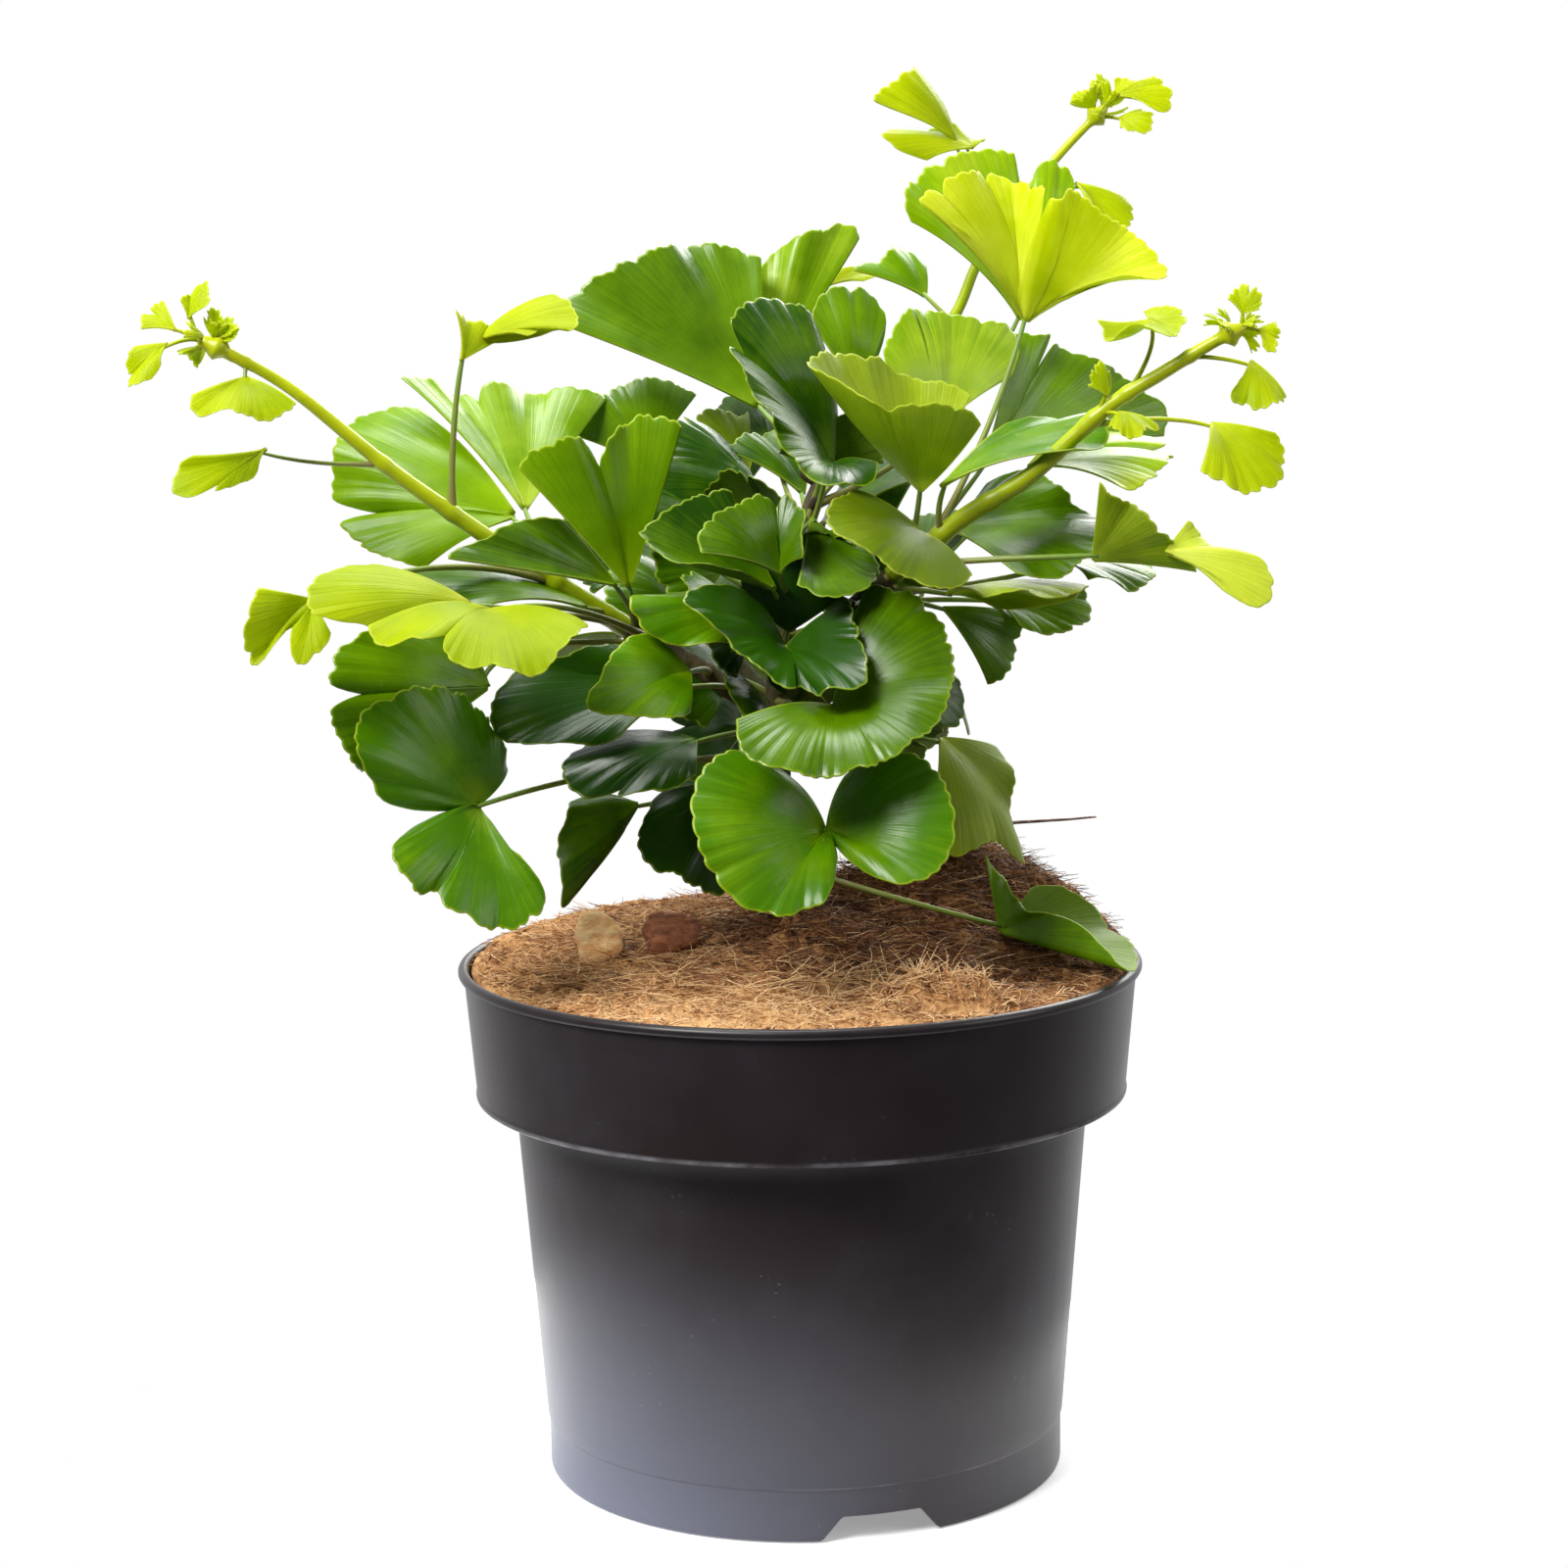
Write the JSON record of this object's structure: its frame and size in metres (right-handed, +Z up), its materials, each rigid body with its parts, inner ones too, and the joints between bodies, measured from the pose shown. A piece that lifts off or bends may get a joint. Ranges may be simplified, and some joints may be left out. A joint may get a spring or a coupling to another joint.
{
  "type": "potted ginkgo tree",
  "caption": "Young ginkgo with fan-shaped leaves in a round black nursery pot with a deep rim band, topped with coir mulch.",
  "frame": {"origin": "on the pot's axis in the plane of its foot, at the middle of the central pad", "axes": "+Z up along the pot's axis; -Y towards the side with the low butterfly-shaped leaf; +X to the right seen from there"},
  "size_m": [0.301, 0.1914, 0.3887],
  "materials": {
    "black_plastic": "satin injection-moulded polypropylene, scuffed and dusty",
    "potting_soil": "dark bark and peat compost, moist",
    "coir": "loose golden-brown coconut fibre",
    "bark_pale": "dry pale bark splinter",
    "bark_red": "red-brown bark chip",
    "dead_wood": "dry peeled twig",
    "young_wood": "smooth grey-brown bark",
    "green_shoot": "succulent yellow-green shoot, satin",
    "leaf_mature": "thick waxy leaf, glossy dark green with fine fanned veins",
    "leaf_bright": "thick waxy leaf, glossy fresh green",
    "leaf_young": "soft new leaf, yellow-green, satin",
    "leaf_dull": "leaf showing its duller olive underside"
  },
  "bodies": {
    "root": {"nursery_pot": "black_plastic", "root_ball": "potting_soil", "coir_mulch": "coir", "bark_chip_pale": "bark_pale", "bark_chip_red": "bark_red", "trunk": "young_wood", "shoot_left": "green_shoot", "shoot_right": "green_shoot", "shoot_top": "green_shoot", "spray_left": "leaf_mature", "spray_right": "leaf_mature", "dry_twig": "dead_wood", "leaf_left_bright": "leaf_bright", "leaf_left_arrow": "leaf_mature", "leaf_left_back": "leaf_mature", "leaf_left_heart": "leaf_bright", "leaf_left_edge": "leaf_mature", "leaf_left_glossy": "leaf_mature", "leaf_yellow_front": "leaf_young", "leaf_yellow_curled": "leaf_young", "leaf_yellow_drooping": "leaf_young", "young_leaf_hanging": "leaf_young", "young_leaf_pale": "leaf_young", "young_leaf_twisted": "leaf_young", "leaf_left_upper": "leaf_mature", "leaf_left_lower": "leaf_bright", "leaf_back_great": "leaf_mature", "leaf_back_peak": "leaf_mature", "leaf_centre_tall": "leaf_mature", "leaf_centre_dark": "leaf_mature", "leaf_centre_glossy": "leaf_mature", "leaf_centre_cup": "leaf_dull", "leaf_right_folded": "leaf_bright", "leaf_top_back": "leaf_bright", "leaf_top_front": "leaf_young", "leaf_top_pale": "leaf_bright", "leaf_grey_back": "leaf_dull", "leaf_right_high": "leaf_mature", "leaf_right_pale": "leaf_bright", "leaf_right_big": "leaf_mature", "leaf_right_young": "leaf_dull", "leaf_right_slender": "leaf_mature", "leaf_right_scalloped": "leaf_mature", "leaf_right_under": "leaf_dull", "leaf_right_hanging": "leaf_mature", "leaf_right_olive": "leaf_dull", "leaf_on_rim": "leaf_mature", "leaf_heart": "leaf_mature", "leaf_under_heart": "leaf_mature", "leaf_centre_hollow": "leaf_mature", "leaf_turned_over": "leaf_dull", "leaf_centre_butterfly": "leaf_mature", "leaf_left_middle": "leaf_bright", "leaf_left_small": "leaf_bright", "leaf_left_dark": "leaf_mature", "leaf_lower_dark": "leaf_mature", "leaf_low_hanging": "leaf_mature", "leaf_low_dark": "leaf_mature", "leaf_front_great": "leaf_mature", "leaf_front_butterfly": "leaf_bright"}
  },
  "joints": []
}
